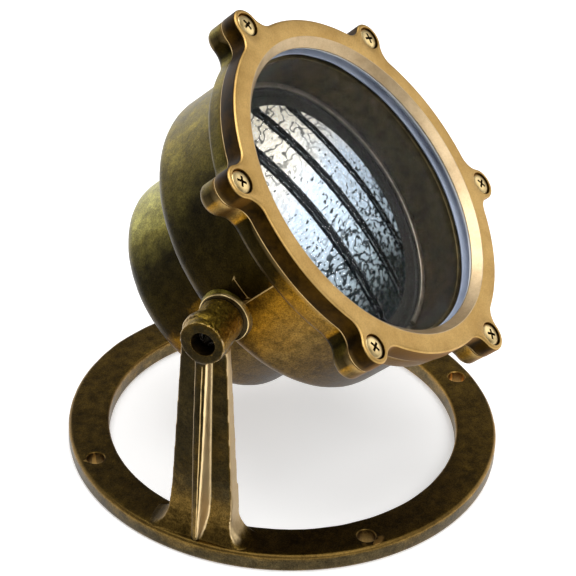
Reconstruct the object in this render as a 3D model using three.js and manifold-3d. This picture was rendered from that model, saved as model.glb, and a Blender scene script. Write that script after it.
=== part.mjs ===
// Underwater pond light: a cast brass spot light that tilts between two arms on a round base ring.
// Millimetres, +Z up. The origin is the centre of the base ring's underside, the hinge axis runs
// along X, and the lamp faces -Y and upwards.
import * as THREE from "three";
import { mergeVertices } from "three/addons/utils/BufferGeometryUtils.js";
import Module from "manifold-3d";

const wasm = await Module();
wasm.setup();

// ---- driving dimensions ----
const GAP = 0.3; // clearance between touching pieces
const EDGE = 1.2; // small rounding on cast and turned edges

const BASE_R = 101.6; // base ring, an 8 inch outline
const BASE_BORE_R = 82.5;
const BASE_T = 8.5;
const ANCHOR_CIRCLE_R = 93.5;
const ANCHOR_HOLE_R = 4.1;
const ANCHOR_COUNT = 4;

const PIVOT_HEIGHT = 109.8;
const TILT = THREE.MathUtils.degToRad(44.2); // lamp axis above the horizontal at rest

const ARM_INNER_X = 83.2; // inner face of the arm's plate at the foot, from the centre plane
const ARM_INNER_TOP_X = 87.4; // the same at the top, as the plate tapers upwards
const ARM_OUTER_X = 91.6;
const ARM_HALF_TOP = 10.2;
const ARM_HALF_FOOT = 15.2;
const ARM_OFFSET_Y = 1.9; // the plate sits a little behind the pivot
const FOOT_FLARE = 6; // radius of the flare where the arm meets the ring
const FOOT_PAD_T = 2.4;
const FOOT_PAD_X = 98.5;
const RIB_W = 5.2;
const RIB_Y = 1.15; // middle of the rib, also a little behind the pivot
const RIB_TOP_X = 95.6;
const RIB_FOOT_X = 100.6;
const BOSS_R = 9.8;
const BOSS_OFFSET_Y = 0.6; // the boss stands this far off the middle of its own hole
const BOSS_OUTER_X = 96.9;
const COUNTERBORE_R = 5.3;
const COUNTERBORE_FLOOR_X = 84.6;

const LOCK_HEAD_R = 5; // M6 socket head cap screw
const LOCK_HEAD_H = 6;
const LOCK_SHANK_R = 3;
const LOCK_SOCKET_ACROSS = 5;
const LOCK_TIP_X = 69.6;
const PIVOT_HOLE_R = 3.3;
const PIVOT_PAD_R = 10.9; // round pad on the side of the housing
const PIVOT_PAD_X = 74.4;
const WASHER_R = 11.3;
const WASHER_T = 1.2;
const WASHER_X = PIVOT_PAD_X + GAP + WASHER_T; // outer face of the washer

// Along the lamp axis, measured from the hinge towards the front.
const FACE_Z = 50.5;
const SEAM_Z = 41.7;
const FLANGE_BACK_Z = 31.8;
const DRUM_BACK_Z = -9.4;
const REAR_BACK_Z = -55.1;
const SEAT_Z = 40.1;
const LEDGE_Z = 12;
const LEDGE_T = 4;
const LEDGE_R = 56;

const BEZEL_R = 80.6;
const BEZEL_FLAT_R = 71.6; // inner edge of the flat front face
const BEZEL_LIP_R = 68.2;
const BEZEL_LIP_DEPTH = 3.6;
const BEZEL_LIP_T = 0.5;
const LUG_COUNT = 6;
const LUG_CIRCLE_R = 86;
const LUG_R = 7.6;
const LUG_FILLET_R = 8;

const FLANGE_R = 79.6;
const FLANGE_LUG_R = 7.2;
const FLANGE_COVE_R = 3.5; // fillet under the flange
const DRUM_R = 73;
const DRUM_BORE_R = 66.5;
const DRUM_EDGE_R = 6.7;
const REAR_R = 53.1;
const REAR_BORE_R = 48;
const REAR_EDGE_R = 8.2;
const FLOOR_T = 5;

const SCREW_HEAD_R = 4.85; // bezel screws
const SCREW_HEAD_H = 2.9;
const SCREW_SHANK_R = 2.4;
const SCREW_TIP_Z = 33.4;
const SCREW_HOLE_R = 2.75;
const SCREW_SINK_R = 5.5;
const CROSS_LENGTH = 5.2;
const CROSS_W = 1.2;
const CROSS_DEPTH = 1.5;
const SCREW_SEAT_Z = FACE_Z - SCREW_HEAD_H - 0.2;
const SCREW_TURNS = [12, 45, 20, 65, 3, 40]; // how far each cross recess is turned

const WINDOW_SEAT_R = 75;
const GASKET_R = 74.5;
const GASKET_LIP_R = 68.5;
const GASKET_LIP_T = 1;
const GLASS_R = 73;
const GLASS_T = 3.2;

const LAMP_R = 55.3; // PAR36 sealed lamp
const LENS_TOP_R = 53.3;
const LENS_RIM_TOP_Z = 18;
const LENS_RISE = 8.6;
const LENS_T = 2.6;
const RIM_T = 1.9;
const LENS_RIM_LOW_Z = LENS_RIM_TOP_Z - RIM_T;
const REFLECTOR_RIM_Z = LENS_RIM_LOW_Z - GAP;
const REFLECTOR_BACK_Z = -28;
const REFLECTOR_T = 2;
const BOWL_BACK_R = 15;
const CAPSULE_R = 5;
const CAPSULE_H = 22;
const BOOT_R = 66;
const BOOT_LIP_R = 53.9;
const BOOT_FLOOR_T = 1.4;
const SNAP_INNER_R = 63.6;
const SNAP_T = 1.7;
const SNAP_SPLIT = 5;
const TERMINAL_X = 6.5;
const TERMINAL_H = 7;
const TERMINAL_STEM_R = 1.7;
const EARTH_Y = 57.5;
const EARTH_SHANK_R = 1.7;
const EARTH_HEAD_H = 2.3;

const GLAND_THREAD_R = 8;
const GLAND_WASHER_R = 13;
const GLAND_WASHER_T = 1.5;
const GLAND_HEX_ACROSS = 22;
const GLAND_HEX_T = 6;
const GLAND_HEX_LOW_Z = REAR_BACK_Z - 2 * GAP - GLAND_WASHER_T - GLAND_HEX_T;
const GLAND_NECK_H = 6;
const GLAND_NECK_LOW_Z = GLAND_HEX_LOW_Z - GLAND_NECK_H;
const GLAND_NUT_R = 10.6;
const GLAND_NUT_WALL = 3.5;
const GLAND_NUT_BEVEL = 2;
const GLAND_BORE_R = 5.6;
const SEAL_BORE_R = 4.2;
const SEAL_T = 3.5;

const AXIS_X = new THREE.Vector3(1, 0, 0);
const AXIS_Y = new THREE.Vector3(0, 1, 0);
const AXIS_Z = new THREE.Vector3(0, 0, 1);

// ---- helpers: plain geometry to solids and back ----
function signedVolume(position, index) {
  const a = new THREE.Vector3();
  const b = new THREE.Vector3();
  const c = new THREE.Vector3();
  let sum = 0;
  for (let i = 0; i < index.length; i += 3) {
    a.fromArray(position, 3 * index[i]);
    b.fromArray(position, 3 * index[i + 1]);
    c.fromArray(position, 3 * index[i + 2]);
    sum += a.dot(b.cross(c)) / 6;
  }
  return sum;
}

// Welds a closed geometry's vertices, turns its faces outwards and makes it a manifold solid.
function solid(geometry) {
  geometry.deleteAttribute("normal");
  geometry.deleteAttribute("uv");
  const welded = mergeVertices(geometry, 1e-4);
  const position = welded.attributes.position.array;
  const kept = [];
  for (let i = 0; i < welded.index.count; i += 3) {
    const [a, b, c] = [0, 1, 2].map((k) => welded.index.getX(i + k));
    if (a !== b && b !== c && c !== a) {
      kept.push(a, b, c);
    }
  }
  if (signedVolume(position, kept) < 0) {
    kept.reverse();
  }
  const mesh = new wasm.Mesh({
    numProp: 3,
    vertProperties: new Float32Array(position),
    triVerts: new Uint32Array(kept),
  });
  return new wasm.Manifold(mesh);
}

function toGeometry(body) {
  const mesh = body.getMesh();
  const geometry = new THREE.BufferGeometry();
  geometry.setAttribute("position", new THREE.BufferAttribute(mesh.vertProperties, mesh.numProp));
  geometry.setIndex(new THREE.BufferAttribute(mesh.triVerts, 1));
  geometry.computeVertexNormals();
  return geometry;
}

// Points of an arc in a (radius, height) profile or an outline, angles in degrees.
function arc(x, y, radius, from, to, steps = 4) {
  const points = [];
  for (let i = 0; i <= steps; i += 1) {
    const angle = THREE.MathUtils.degToRad(from + ((to - from) * i) / steps);
    points.push([x + radius * Math.cos(angle), y + radius * Math.sin(angle)]);
  }
  return points;
}

// Solid of revolution about Z from an open profile that starts and ends on the axis.
function turned(profile, segments = 48) {
  const points = profile.map(([r, z]) => new THREE.Vector2(r, z));
  return solid(new THREE.LatheGeometry(points, segments).rotateX(Math.PI / 2));
}

// Ring of revolution about Z from a closed profile.
function turnedRing(profile, segments = 48) {
  return turned([...profile, profile[0]], segments);
}

function cylinder(radius, low, high, segments = 24) {
  return turned([[0, low], [radius, low], [radius, high], [0, high]], segments);
}

function shapeOf(points) {
  return new THREE.Shape(points.map(([x, y]) => new THREE.Vector2(x, y)));
}

function prismGeometry(shape, low, high, curveSegments = 3) {
  const depth = high - low;
  const geometry = new THREE.ExtrudeGeometry(shape, { depth, bevelEnabled: false, curveSegments });
  return geometry.translate(0, 0, low);
}

function prism(shape, low, high) {
  return solid(prismGeometry(shape, low, high));
}

// Round bar whose length runs outwards along the hinge axis on one side.
function hingeBar(radius, low, high, side, height = 0, segments = 28) {
  const geometry = new THREE.CylinderGeometry(radius, radius, high - low, segments);
  geometry.rotateZ(Math.PI / 2);
  return solid(geometry.translate((side * (low + high)) / 2, 0, height));
}

// Round bar along Z at a given place.
function postAt(radius, low, high, [x, y], segments = 16) {
  const geometry = new THREE.CylinderGeometry(radius, radius, high - low, segments);
  geometry.rotateX(Math.PI / 2);
  return solid(geometry.translate(x, y, (low + high) / 2));
}

function onCircle(radius, angle) {
  const turn = THREE.MathUtils.degToRad(angle);
  return [radius * Math.cos(turn), radius * Math.sin(turn)];
}

function hexagon(across) {
  return shapeOf(arc(0, 0, across / Math.sqrt(3), 0, 300, 5));
}

function lugAngles() {
  return Array.from({ length: LUG_COUNT }, (_, i) => -150 + (i * 360) / LUG_COUNT);
}

// Outline of a ring with round screw lugs that flow into it through concave fillets.
function luggedOutline(ringR, lugR) {
  const far = ringR + LUG_FILLET_R;
  const near = lugR + LUG_FILLET_R;
  const reach = (far ** 2 + LUG_CIRCLE_R ** 2 - near ** 2) / (2 * far * LUG_CIRCLE_R);
  const turn = Math.acos(reach);
  const spread = THREE.MathUtils.radToDeg(turn);
  const side = THREE.MathUtils.radToDeg(Math.atan2(far * Math.sin(turn), far * reach - LUG_CIRCLE_R));
  const points = [];
  for (const angle of lugAngles()) {
    const [first, last] = [angle - spread, angle + spread].map((end) => onCircle(far, end));
    const nextLug = angle + 360 / LUG_COUNT - spread;
    points.push(...arc(...first, LUG_FILLET_R, angle - spread + 180, angle - side + 180, 3));
    points.push(...arc(...onCircle(LUG_CIRCLE_R, angle), lugR, angle - side, angle + side, 8).slice(1, -1));
    points.push(...arc(...last, LUG_FILLET_R, angle + side + 180, angle + spread + 180, 3));
    points.push(...arc(0, 0, ringR, angle + spread, nextLug, 5).slice(1, -1));
  }
  return shapeOf(points);
}

// ---- base: ring and arms ----
function baseRing() {
  const ring = turnedRing([
    [BASE_BORE_R + EDGE, 0],
    [BASE_R - EDGE, 0],
    [BASE_R, EDGE],
    [BASE_R, BASE_T - EDGE],
    [BASE_R - EDGE, BASE_T],
    [BASE_BORE_R + EDGE, BASE_T],
    [BASE_BORE_R, BASE_T - EDGE],
    [BASE_BORE_R, EDGE],
  ], 56);
  let body = ring;
  for (let i = 0; i < ANCHOR_COUNT; i += 1) {
    const place = onCircle(ANCHOR_CIRCLE_R, 45 + (i * 360) / ANCHOR_COUNT);
    body = body.subtract(postAt(ANCHOR_HOLE_R, -1, BASE_T + 1, place));
  }
  return body;
}

// Tapered plate with flared feet, in the (y, z) plane, extruded through its thickness along X.
function armPlate(side) {
  const foot = BASE_T + GAP;
  const waist = foot + FOOT_FLARE;
  const outline = [
    [ARM_HALF_FOOT + FOOT_FLARE, foot],
    ...arc(ARM_HALF_FOOT + FOOT_FLARE, waist + 1, FOOT_FLARE, 270, 180, 3),
    [ARM_HALF_TOP, PIVOT_HEIGHT],
    ...arc(0, PIVOT_HEIGHT, ARM_HALF_TOP, 15, 165, 8),
    [-ARM_HALF_TOP, PIVOT_HEIGHT],
    ...arc(-ARM_HALF_FOOT - FOOT_FLARE, waist + 1, FOOT_FLARE, 0, -90, 3),
    [-ARM_HALF_FOOT - FOOT_FLARE, foot],
  ];
  const axes = new THREE.Matrix4().makeBasis(AXIS_Y, AXIS_Z, AXIS_X);
  const middle = (side * (ARM_INNER_X + ARM_OUTER_X)) / 2;
  const half = (ARM_OUTER_X - ARM_INNER_X) / 2;
  const geometry = prismGeometry(shapeOf(outline), middle - half, middle + half);
  const slab = solid(geometry.applyMatrix4(axes).translate(0, ARM_OFFSET_Y, 0));
  const top = PIVOT_HEIGHT + ARM_HALF_TOP + 1;
  const wedge = [
    [ARM_INNER_X - 1, foot],
    [ARM_INNER_X, foot],
    [ARM_INNER_TOP_X, top],
    [ARM_INNER_X - 1, top],
  ];
  return slab.subtract(armFin(side, wedge, 4 * ARM_HALF_FOOT, 0));
}

// A flat web in the (x, z) plane, as wide as given and centred on y.
function armFin(side, outline, width, y) {
  const axes = new THREE.Matrix4().makeBasis(AXIS_X, AXIS_Z, AXIS_Y.clone().negate());
  const shape = shapeOf(outline.map(([x, z]) => [side * x, z]));
  return solid(prismGeometry(shape, -width / 2, width / 2).applyMatrix4(axes).translate(0, y, 0));
}

function arm(side) {
  const foot = BASE_T + GAP;
  const padTop = foot + FOOT_PAD_T;
  const root = ARM_OUTER_X - 1;
  const rib = [
    [root, foot],
    [RIB_FOOT_X, foot],
    [RIB_FOOT_X, padTop],
    [RIB_TOP_X, PIVOT_HEIGHT],
    [root, PIVOT_HEIGHT],
  ];
  const pad = [[root, foot], [FOOT_PAD_X, foot], [FOOT_PAD_X - FOOT_PAD_T, padTop], [root, padTop]];
  return armPlate(side)
    .add(armFin(side, rib, RIB_W, RIB_Y))
    .add(armFin(side, pad, 2 * ARM_HALF_FOOT, ARM_OFFSET_Y))
    .add(hingeBar(BOSS_R, WASHER_X + GAP, BOSS_OUTER_X, side, PIVOT_HEIGHT).translate(0, BOSS_OFFSET_Y, 0))
    .subtract(hingeBar(PIVOT_HOLE_R, WASHER_X - 1, COUNTERBORE_FLOOR_X + 1, side, PIVOT_HEIGHT, 20))
    .subtract(hingeBar(COUNTERBORE_R, COUNTERBORE_FLOOR_X, BOSS_OUTER_X + 1, side, PIVOT_HEIGHT));
}

function pivotWasher(side) {
  const ring = hingeBar(WASHER_R, WASHER_X - WASHER_T, WASHER_X, side);
  return ring.subtract(hingeBar(PIVOT_HOLE_R, WASHER_X - WASHER_T - 1, WASHER_X + 1, side, 0, 20));
}

function lockScrew(side) {
  const headLow = COUNTERBORE_FLOOR_X + GAP;
  const headTop = headLow + LOCK_HEAD_H;
  const socket = prismGeometry(hexagon(LOCK_SOCKET_ACROSS), headTop - LOCK_HEAD_H / 2, headTop + 1);
  return hingeBar(LOCK_HEAD_R, headLow, headTop, side)
    .add(hingeBar(LOCK_SHANK_R, LOCK_TIP_X, headLow + 1, side, 0, 20))
    .subtract(solid(socket.rotateY((side * Math.PI) / 2)));
}

// ---- housing, built along Z with the lamp's front up ----
function housing() {
  const shell = turnedRing([
    [GLAND_THREAD_R + GAP, REAR_BACK_Z],
    ...arc(REAR_R - REAR_EDGE_R, REAR_BACK_Z + REAR_EDGE_R, REAR_EDGE_R, -90, 0, 3),
    [REAR_R, DRUM_BACK_Z],
    ...arc(DRUM_R - DRUM_EDGE_R, DRUM_BACK_Z + DRUM_EDGE_R, DRUM_EDGE_R, -90, 0, 3),
    ...arc(DRUM_R + FLANGE_COVE_R, FLANGE_BACK_Z - FLANGE_COVE_R, FLANGE_COVE_R, 180, 90, 3),
    [DRUM_R + FLANGE_COVE_R, SEAM_Z - GAP],
    [WINDOW_SEAT_R, SEAM_Z - GAP],
    [WINDOW_SEAT_R, SEAT_Z],
    [DRUM_BORE_R, SEAT_Z],
    [DRUM_BORE_R, LEDGE_Z],
    [LEDGE_R, LEDGE_Z],
    [LEDGE_R, LEDGE_Z - LEDGE_T],
    [DRUM_BORE_R, LEDGE_Z - 2 * LEDGE_T],
    [DRUM_BORE_R, DRUM_BACK_Z + FLOOR_T],
    [REAR_BORE_R, DRUM_BACK_Z + FLOOR_T],
    [REAR_BORE_R, REAR_BACK_Z + FLOOR_T],
    [GLAND_THREAD_R + GAP, REAR_BACK_Z + FLOOR_T],
  ], 48);
  const flangeRing = prism(luggedOutline(FLANGE_R, FLANGE_LUG_R), FLANGE_BACK_Z, SEAM_Z - GAP);
  let body = shell.add(flangeRing.subtract(cylinder(DRUM_R + FLANGE_COVE_R - 1, 0, FACE_Z, 48)));
  for (const side of [-1, 1]) {
    body = body.add(hingeBar(PIVOT_PAD_R, DRUM_BORE_R + 1, PIVOT_PAD_X, side));
    body = body.subtract(hingeBar(PIVOT_HOLE_R, LOCK_TIP_X - GAP, PIVOT_PAD_X + 1, side, 0, 20));
  }
  for (const angle of lugAngles()) {
    body = body.subtract(postAt(SCREW_HOLE_R, SCREW_TIP_Z - GAP, FACE_Z, onCircle(LUG_CIRCLE_R, angle)));
  }
  return body.subtract(postAt(EARTH_SHANK_R + GAP, DRUM_BACK_Z + 1, 0, [0, EARTH_Y], 12));
}

function bezelRing() {
  const opening = turned([
    [0, SEAM_Z - 1],
    [WINDOW_SEAT_R, SEAM_Z - 1],
    [WINDOW_SEAT_R, FACE_Z - BEZEL_LIP_DEPTH - BEZEL_LIP_T],
    [BEZEL_LIP_R, FACE_Z - BEZEL_LIP_DEPTH - BEZEL_LIP_T],
    [BEZEL_LIP_R, FACE_Z - BEZEL_LIP_DEPTH],
    [BEZEL_FLAT_R, FACE_Z],
    [BEZEL_FLAT_R, FACE_Z + 1],
    [0, FACE_Z + 1],
  ], 56);
  let body = prism(luggedOutline(BEZEL_R, LUG_R), SEAM_Z, FACE_Z).subtract(opening);
  for (const angle of lugAngles()) {
    const place = onCircle(LUG_CIRCLE_R, angle);
    body = body.subtract(postAt(SCREW_HOLE_R, SEAM_Z - 1, FACE_Z, place));
    body = body.subtract(postAt(SCREW_SINK_R, SCREW_SEAT_Z - GAP, FACE_Z + 1, place, 24));
  }
  return body;
}

// Pan-head screw with a cross recess, built at the origin and turned to its own angle.
function bezelScrew(turn) {
  const headTop = SCREW_SEAT_Z + SCREW_HEAD_H;
  let body = turned([
    [0, SCREW_TIP_Z],
    [SCREW_SHANK_R, SCREW_TIP_Z],
    [SCREW_SHANK_R, SCREW_SEAT_Z],
    [SCREW_HEAD_R, SCREW_SEAT_Z],
    [SCREW_HEAD_R, headTop - EDGE],
    [SCREW_HEAD_R - EDGE, headTop - EDGE / 6],
    [0, headTop],
  ], 20);
  for (const [sizeX, sizeY] of [[CROSS_LENGTH, CROSS_W], [CROSS_W, CROSS_LENGTH]]) {
    const slot = new THREE.BoxGeometry(sizeX, sizeY, 2 * CROSS_DEPTH);
    slot.rotateZ(THREE.MathUtils.degToRad(turn)).translate(0, 0, headTop);
    body = body.subtract(solid(slot));
  }
  return body;
}

function windowGlass() {
  const low = SEAT_Z + 2 * GAP + GASKET_LIP_T;
  return cylinder(GLASS_R, low, low + GLASS_T, 40);
}

// U-shaped silicone channel round the edge of the window.
function windowGasket() {
  const low = SEAT_Z + GAP;
  const glassLow = low + GASKET_LIP_T;
  const glassHigh = glassLow + GLASS_T + 2 * GAP;
  const high = glassHigh + GASKET_LIP_T;
  return turnedRing([
    [GASKET_LIP_R, low],
    [GASKET_R, low],
    [GASKET_R, high],
    [GASKET_LIP_R, high],
    [GASKET_LIP_R, glassHigh],
    [GLASS_R + GAP, glassHigh],
    [GLASS_R + GAP, glassLow],
    [GASKET_LIP_R, glassLow],
  ], 40);
}

// ---- lamp ----
// Points of a shallow parabolic dome, from its rim to its top.
function domePoints(radius, base, steps) {
  return Array.from({ length: steps + 1 }, (_, i) => {
    const part = 1 - i / steps;
    return [radius * part, base + LENS_RISE * (1 - part ** 2)];
  });
}

function lampLens() {
  const inside = domePoints(LENS_TOP_R - LENS_T, LENS_RIM_LOW_Z, 4).reverse();
  const outside = domePoints(LENS_TOP_R, LENS_RIM_TOP_Z, 4);
  return turned([...inside, [LAMP_R, LENS_RIM_LOW_Z], [LAMP_R, LENS_RIM_TOP_Z], ...outside], 40);
}

// Height of the reflector's outer paraboloid at a given radius.
function reflectorHeight(radius) {
  return REFLECTOR_BACK_Z + (REFLECTOR_RIM_Z - REFLECTOR_BACK_Z) * (radius / LENS_TOP_R) ** 2;
}

// Glass bowl, silvered inside, with a flat back that carries the terminals.
function lampReflector() {
  const radii = Array.from({ length: 5 }, (_, i) => BOWL_BACK_R + ((LENS_TOP_R - BOWL_BACK_R) * i) / 4);
  const inside = radii.map((r) => [r - REFLECTOR_T, reflectorHeight(r)]).reverse();
  return turned([
    [0, REFLECTOR_BACK_Z - REFLECTOR_T],
    [BOWL_BACK_R, REFLECTOR_BACK_Z - REFLECTOR_T],
    ...radii.slice(0, -1).map((r) => [r, reflectorHeight(r)]),
    [LENS_TOP_R - 1, REFLECTOR_RIM_Z - RIM_T],
    [LAMP_R, REFLECTOR_RIM_Z - RIM_T],
    [LAMP_R, REFLECTOR_RIM_Z],
    ...inside,
    [0, reflectorHeight(BOWL_BACK_R)],
  ], 40);
}

function lampCapsule() {
  const low = reflectorHeight(BOWL_BACK_R) + GAP;
  return turned([
    [0, low],
    [CAPSULE_R, low],
    [CAPSULE_R, low + CAPSULE_H - CAPSULE_R],
    ...arc(0, low + CAPSULE_H - CAPSULE_R, CAPSULE_R, 30, 90, 2).slice(0, -1),
    [0, low + CAPSULE_H],
  ], 20);
}

// Black rubber boot that grips both lamp rims and rests on the housing's ledge.
function lampBoot() {
  const low = LEDGE_Z + GAP;
  const rimLow = REFLECTOR_RIM_Z - RIM_T - GAP;
  return turnedRing([
    [BOOT_LIP_R, rimLow - BOOT_FLOOR_T],
    [LEDGE_R + 1, low],
    [BOOT_R, low],
    [BOOT_R, LENS_RIM_TOP_Z + GAP],
    [LAMP_R + GAP, LENS_RIM_TOP_Z + GAP],
    [LAMP_R + GAP, rimLow],
    [BOOT_LIP_R, rimLow],
  ], 40);
}

// Snap ring, split at the bottom, that keeps the lamp in.
function snapRing() {
  const low = LENS_RIM_TOP_Z + 2 * GAP;
  const high = low + SNAP_T;
  const ring = cylinder(BOOT_R, low, high).subtract(cylinder(SNAP_INNER_R, low - 1, high + 1));
  const split = new THREE.BoxGeometry(SNAP_SPLIT, 10, 10).translate(0, -BOOT_R, low);
  return ring.subtract(solid(split));
}

// Brass terminal screw on the back of the lamp.
function lampTerminal() {
  const seat = REFLECTOR_BACK_Z - REFLECTOR_T - GAP;
  return turned([
    [0, seat - TERMINAL_H],
    [TERMINAL_STEM_R, seat - TERMINAL_H],
    [TERMINAL_STEM_R, seat - TERMINAL_H / 2],
    [2 * TERMINAL_STEM_R, seat - TERMINAL_H / 2],
    [2 * TERMINAL_STEM_R, seat],
    [0, seat],
  ], 16);
}

function earthScrew() {
  const seat = DRUM_BACK_Z + FLOOR_T + GAP;
  return turned([
    [0, DRUM_BACK_Z + 1 + GAP],
    [EARTH_SHANK_R, DRUM_BACK_Z + 1 + GAP],
    [EARTH_SHANK_R, seat],
    [2 * EARTH_SHANK_R, seat],
    [2 * EARTH_SHANK_R, seat + EARTH_HEAD_H / 2],
    [EARTH_SHANK_R, seat + EARTH_HEAD_H],
    [0, seat + EARTH_HEAD_H],
  ], 16);
}

// ---- cable gland on the back of the housing ----
function glandWasher() {
  const low = REAR_BACK_Z - GAP - GLAND_WASHER_T;
  return turnedRing([
    [GLAND_THREAD_R + GAP, low],
    [GLAND_WASHER_R, low],
    [GLAND_WASHER_R, low + GLAND_WASHER_T],
    [GLAND_THREAD_R + GAP, low + GLAND_WASHER_T],
  ], 32);
}

function glandBody() {
  const hex = prism(hexagon(GLAND_HEX_ACROSS), GLAND_HEX_LOW_Z, GLAND_HEX_LOW_Z + GLAND_HEX_T);
  return hex
    .add(cylinder(GLAND_THREAD_R, GLAND_NECK_LOW_Z, REAR_BACK_Z + FLOOR_T + 2, 28))
    .subtract(cylinder(GLAND_BORE_R, GLAND_NECK_LOW_Z - 1, 0));
}

function glandSeal() {
  const high = GLAND_NECK_LOW_Z - GAP;
  return turnedRing([
    [SEAL_BORE_R, high - SEAL_T],
    [GLAND_THREAD_R - 1, high - SEAL_T],
    [GLAND_THREAD_R, high],
    [SEAL_BORE_R, high],
  ], 24);
}

function glandNut() {
  const high = GLAND_HEX_LOW_Z - GAP;
  const wall = GLAND_NECK_LOW_Z - SEAL_T - 2 * GAP;
  return turnedRing([
    [GLAND_BORE_R, wall - GLAND_NUT_WALL],
    [GLAND_NUT_R - GLAND_NUT_BEVEL, wall - GLAND_NUT_WALL],
    [GLAND_NUT_R, wall - GLAND_NUT_WALL + GLAND_NUT_BEVEL],
    [GLAND_NUT_R, high],
    [GLAND_THREAD_R + GAP, high],
    [GLAND_THREAD_R + GAP, wall],
    [GLAND_BORE_R, wall],
  ], 28);
}

// ---- materials ----
function metal(color, roughness) {
  return new THREE.MeshStandardMaterial({ color, roughness, metalness: 1 });
}

function nonMetal(color, roughness, opacity = 1) {
  return new THREE.MeshStandardMaterial({ color, roughness, opacity, transparent: opacity < 1 });
}

const MATERIALS = {
  cast: metal(0x4a3f1e, 0.55),
  machined: metal(0xc19c5d, 0.4),
  screw: metal(0xd1bd94, 0.35),
  steel: metal(0x9a9a98, 0.35),
  silver: metal(0xc8c9c3, 0.12),
  clearGlass: nonMetal(0xeef4f6, 0.05, 0.2),
  lensGlass: nonMetal(0xdfe5e6, 0.1, 0.4),
  silicone: nonMetal(0x93a7bb, 0.35),
  rubber: nonMetal(0x15140f, 0.7),
};

// ---- assembly ----
const light = new THREE.Group();
const head = new THREE.Group();
head.position.set(0, 0, PIVOT_HEIGHT);
head.rotation.x = Math.PI / 2 - TILT;
light.add(head);

function place(parent, name, body, material, [x, y, z] = [0, 0, 0]) {
  const mesh = new THREE.Mesh(toGeometry(body), MATERIALS[material]);
  mesh.name = name;
  mesh.position.set(x, y, z);
  parent.add(mesh);
}

place(light, "base_ring", baseRing(), "cast");
for (const [name, side] of [["left", -1], ["right", 1]]) {
  const pivot = [0, 0, PIVOT_HEIGHT];
  place(light, `${name}_arm`, arm(side), "cast");
  place(light, `${name}_pivot_washer`, pivotWasher(side), "screw", pivot);
  place(light, `${name}_lock_screw`, lockScrew(side), "steel", pivot);
}

place(head, "housing", housing(), "cast");
place(head, "bezel_ring", bezelRing(), "machined");
lugAngles().forEach((angle, i) => {
  const [x, y] = onCircle(LUG_CIRCLE_R, angle);
  place(head, `bezel_screw_${i + 1}`, bezelScrew(SCREW_TURNS[i]), "screw", [x, y, 0]);
});
place(head, "window_glass", windowGlass(), "clearGlass");
place(head, "window_gasket", windowGasket(), "silicone");
place(head, "lamp_snap_ring", snapRing(), "steel");
place(head, "lamp_boot", lampBoot(), "rubber");
place(head, "lamp_lens", lampLens(), "lensGlass");
place(head, "lamp_reflector", lampReflector(), "silver");
place(head, "lamp_capsule", lampCapsule(), "clearGlass");
place(head, "lamp_terminal_1", lampTerminal(), "screw", [-TERMINAL_X, 0, 0]);
place(head, "lamp_terminal_2", lampTerminal(), "screw", [TERMINAL_X, 0, 0]);
place(head, "earth_screw", earthScrew(), "screw", [0, EARTH_Y, 0]);
place(head, "gland_washer", glandWasher(), "rubber");
place(head, "gland_body", glandBody(), "machined");
place(head, "gland_seal", glandSeal(), "rubber");
place(head, "gland_nut", glandNut(), "machined");

export default light;
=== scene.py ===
"""Underwater pond light: the visible model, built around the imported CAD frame."""

import math

import bmesh
import bpy
from mathutils import Matrix, Vector, noise


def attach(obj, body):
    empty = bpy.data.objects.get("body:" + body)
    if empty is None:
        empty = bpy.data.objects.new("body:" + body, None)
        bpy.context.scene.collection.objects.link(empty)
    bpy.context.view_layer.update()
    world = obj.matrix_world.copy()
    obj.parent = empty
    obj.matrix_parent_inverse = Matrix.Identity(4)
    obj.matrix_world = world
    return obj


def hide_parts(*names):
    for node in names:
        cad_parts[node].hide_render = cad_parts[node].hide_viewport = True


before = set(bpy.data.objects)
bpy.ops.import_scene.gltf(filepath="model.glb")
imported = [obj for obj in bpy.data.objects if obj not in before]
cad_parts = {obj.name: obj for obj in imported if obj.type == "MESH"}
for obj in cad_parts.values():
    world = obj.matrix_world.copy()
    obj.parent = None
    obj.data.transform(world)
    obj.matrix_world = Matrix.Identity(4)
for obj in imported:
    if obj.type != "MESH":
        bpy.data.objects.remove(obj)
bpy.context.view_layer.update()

# ---- sizes in millimetres; MM turns them into metres ----
# Those that the CAD has under the same name have the CAD's value, apart from four: RIB_FOOT_X is 0.2 less,
# FLANGE_LUG_R and SCREW_HEAD_R are 0.2 more, and FOOT_FLARE is 9 in place of 6.
MM = 0.001
GAP = 0.3

BASE_R = 101.6
BASE_BORE_R = 82.5
BASE_T = 8.5
ANCHOR_CIRCLE_R = 93.5
ANCHOR_HOLE_R = 4.1

TILT = math.radians(44.2)
PIVOT_Z = 109.8
HEAD = Matrix.Translation((0, 0, PIVOT_Z * MM)) @ Matrix.Rotation(math.pi / 2 - TILT, 4, "X")
PIVOT = Matrix.Translation((0, 0, PIVOT_Z * MM))

ARM_INNER_X = 83.2
ARM_INNER_TOP_X = 87.4
ARM_OUTER_X = 91.6
ARM_HALF_TOP = 10.2
ARM_HALF_FOOT = 15.2
ARM_OFFSET_Y = 1.9
RIB_Y = 1.15
RIB_TOP_X = 95.6
RIB_FOOT_X = 100.4
BOSS_R = 9.8
BOSS_OFFSET_Y = 0.6
FOOT_FLARE = 9.0
FOOT_RISE = 24.0
BOSS_OUTER_X = 96.9
COUNTERBORE_R = 5.3
COUNTERBORE_X = 84.6
LOCK_HEAD_R = 5.0
LOCK_HEAD_H = 6.0
LOCK_SHANK_R = 3.0
LOCK_SOCKET_ACROSS = 5.0
LOCK_TIP_X = 69.6
PIVOT_HOLE_R = 3.3
PAD_R = 10.9
PAD_X = 74.4
WASHER_R = 11.3
WASHER_T = 1.2
WASHER_X = PAD_X + GAP + WASHER_T

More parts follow.
